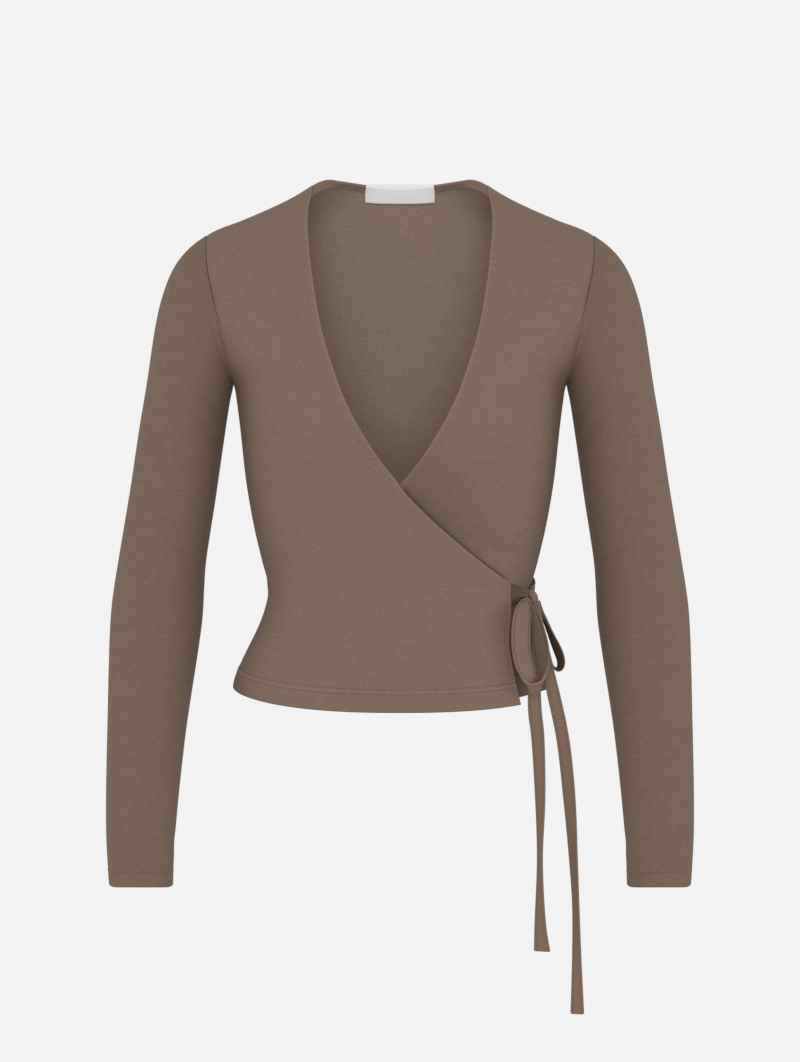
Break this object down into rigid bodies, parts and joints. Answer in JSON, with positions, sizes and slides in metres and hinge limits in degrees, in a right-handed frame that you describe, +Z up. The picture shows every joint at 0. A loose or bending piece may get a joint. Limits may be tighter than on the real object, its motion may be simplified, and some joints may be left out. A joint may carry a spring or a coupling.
{
  "type": "long-sleeved wrap top",
  "caption": "Fitted long-sleeved wrap top in taupe jersey with a deep V neck, tied in a small bow at the wearer's left waist, filled out as if worn and hollow inside.",
  "frame": {"origin": "midway between the two high shoulder points, where the wearer's shoulders hold the garment up", "axes": "+Z up, -Y towards what the wearer faces, +X towards the wearer's left"},
  "size_m": [0.5256, 0.209, 0.7472],
  "materials": {
    "outer_front": "fine matt jersey",
    "under_front": "fine matt jersey",
    "back_panel": "fine matt jersey",
    "sleeve_right": "fine matt jersey",
    "sleeve_left": "fine matt jersey",
    "back_neck_band": "fine matt jersey",
    "tie_outer": "fine matt jersey",
    "tie_under": "fine matt jersey",
    "tie_knot": "fine matt jersey",
    "bow_loop_front": "fine matt jersey",
    "bow_loop_side": "fine matt jersey",
    "tie_tail_short": "fine matt jersey",
    "tie_tail_long": "fine matt jersey",
    "neck_label": "woven satin tape"
  },
  "bodies": {
    "root": {"outer_front": "outer_front", "under_front": "under_front", "back_panel": "back_panel", "sleeve_right": "sleeve_right", "sleeve_left": "sleeve_left", "back_neck_band": "back_neck_band", "neck_label": "neck_label", "tie_outer": "tie_outer", "tie_under": "tie_under", "tie_knot": "tie_knot", "bow_loop_front": "bow_loop_front", "bow_loop_side": "bow_loop_side", "tie_tail_short": "tie_tail_short", "tie_tail_long": "tie_tail_long"}
  },
  "joints": []
}
